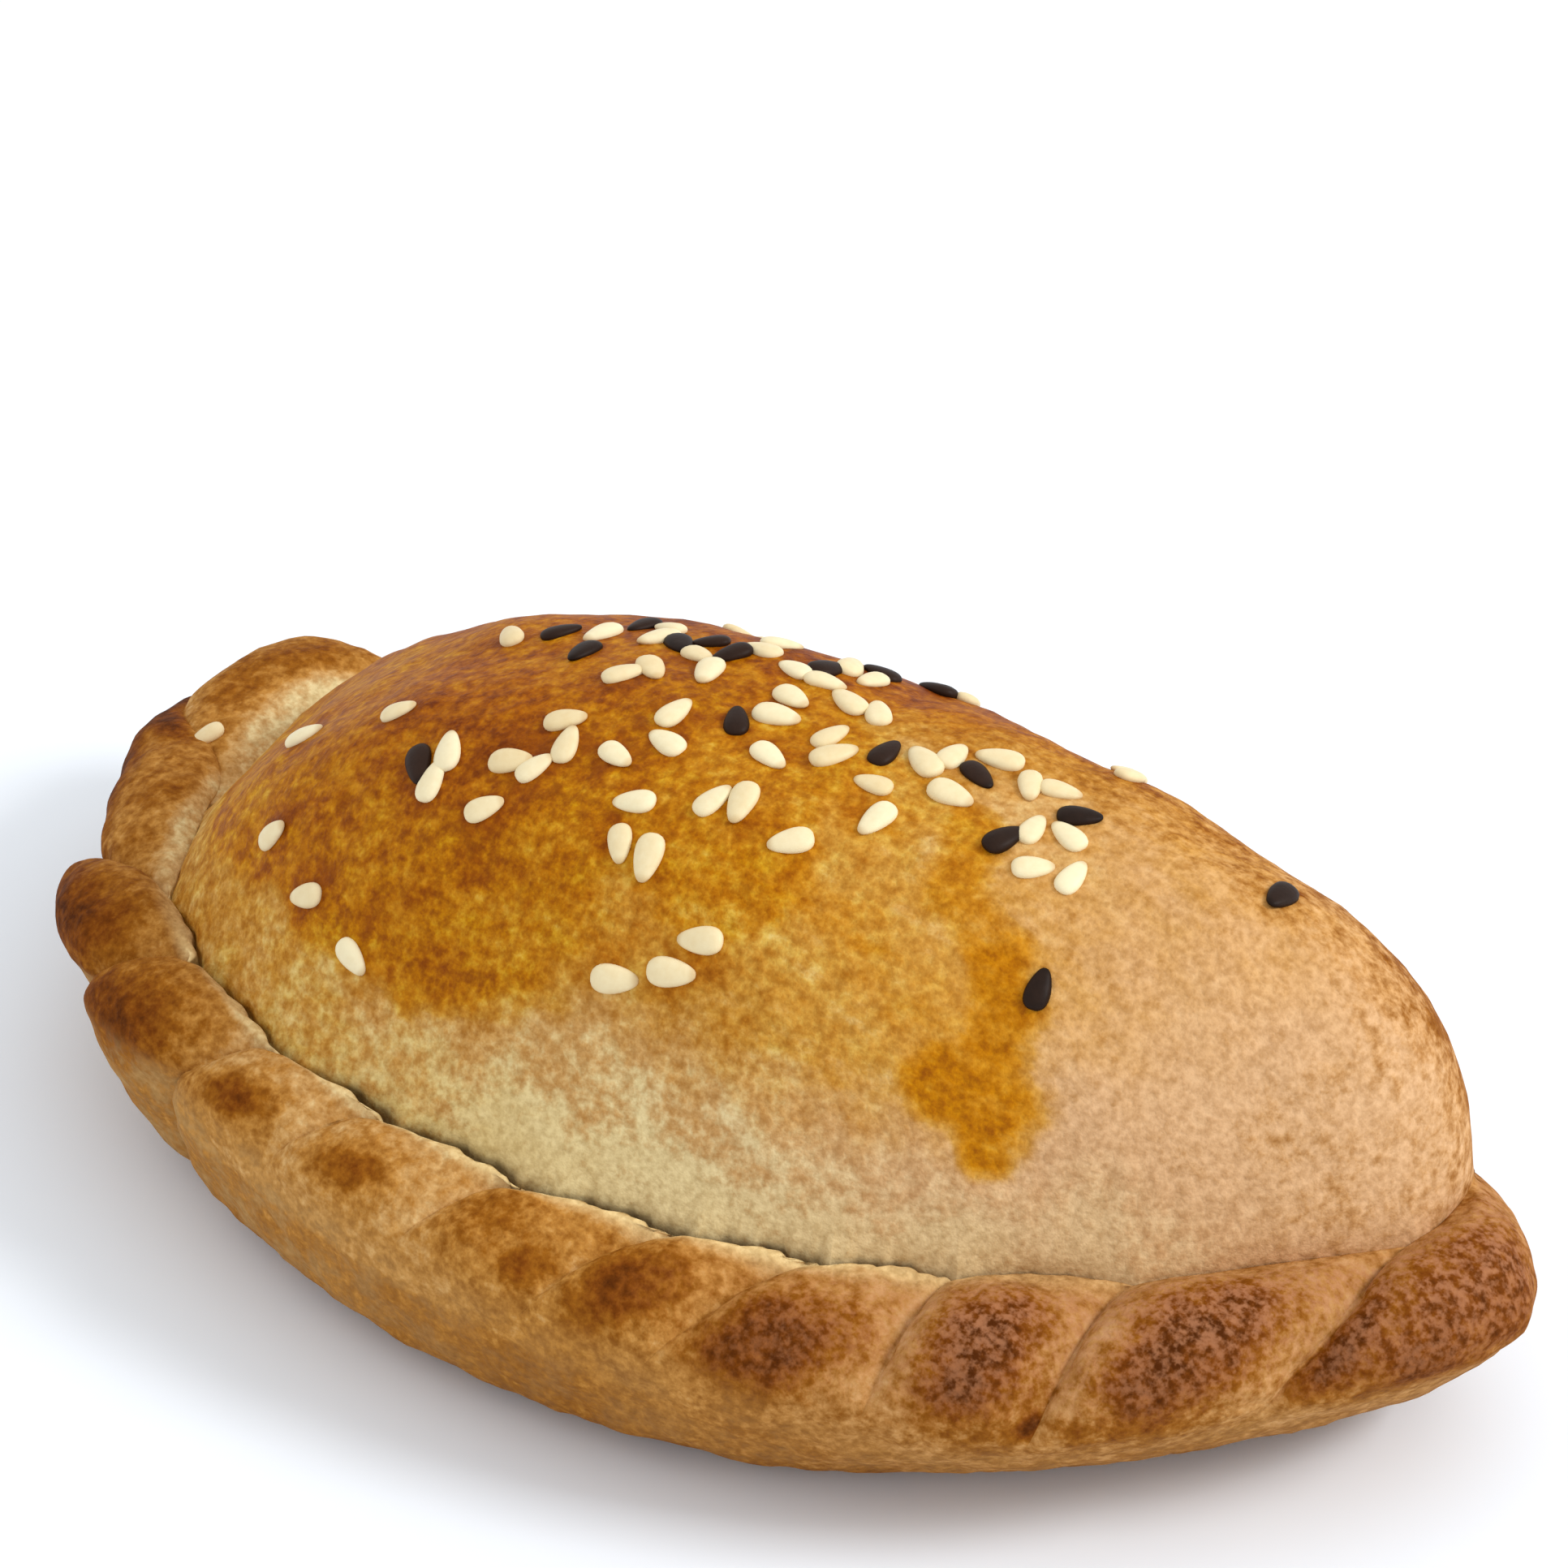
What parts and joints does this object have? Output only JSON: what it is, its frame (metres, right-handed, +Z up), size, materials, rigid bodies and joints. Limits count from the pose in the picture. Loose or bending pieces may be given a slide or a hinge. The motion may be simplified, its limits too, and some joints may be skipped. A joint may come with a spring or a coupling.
{
  "type": "empanada",
  "caption": "Baked half-moon empanada with a domed top, a straight fold at the back, a twisted rope edge round the front and sesame seeds on the crust.",
  "frame": {"origin": "middle of the bounding box in plan, on the table under the empanada", "axes": "+X along the straight fold towards the blunt end, +Y towards the fold at the back, +Z up"},
  "size_m": [0.1187, 0.0552, 0.0406],
  "materials": {
    "baked_crust": "golden brown baked crust, glazed with egg towards the top, browner on the twists of the rope edge",
    "pale_sesame": "ivory hulled sesame seed, satin",
    "black_sesame": "black sesame seed, satin"
  },
  "bodies": {
    "root": {"empanada": "baked_crust"}
  },
  "joints": []
}
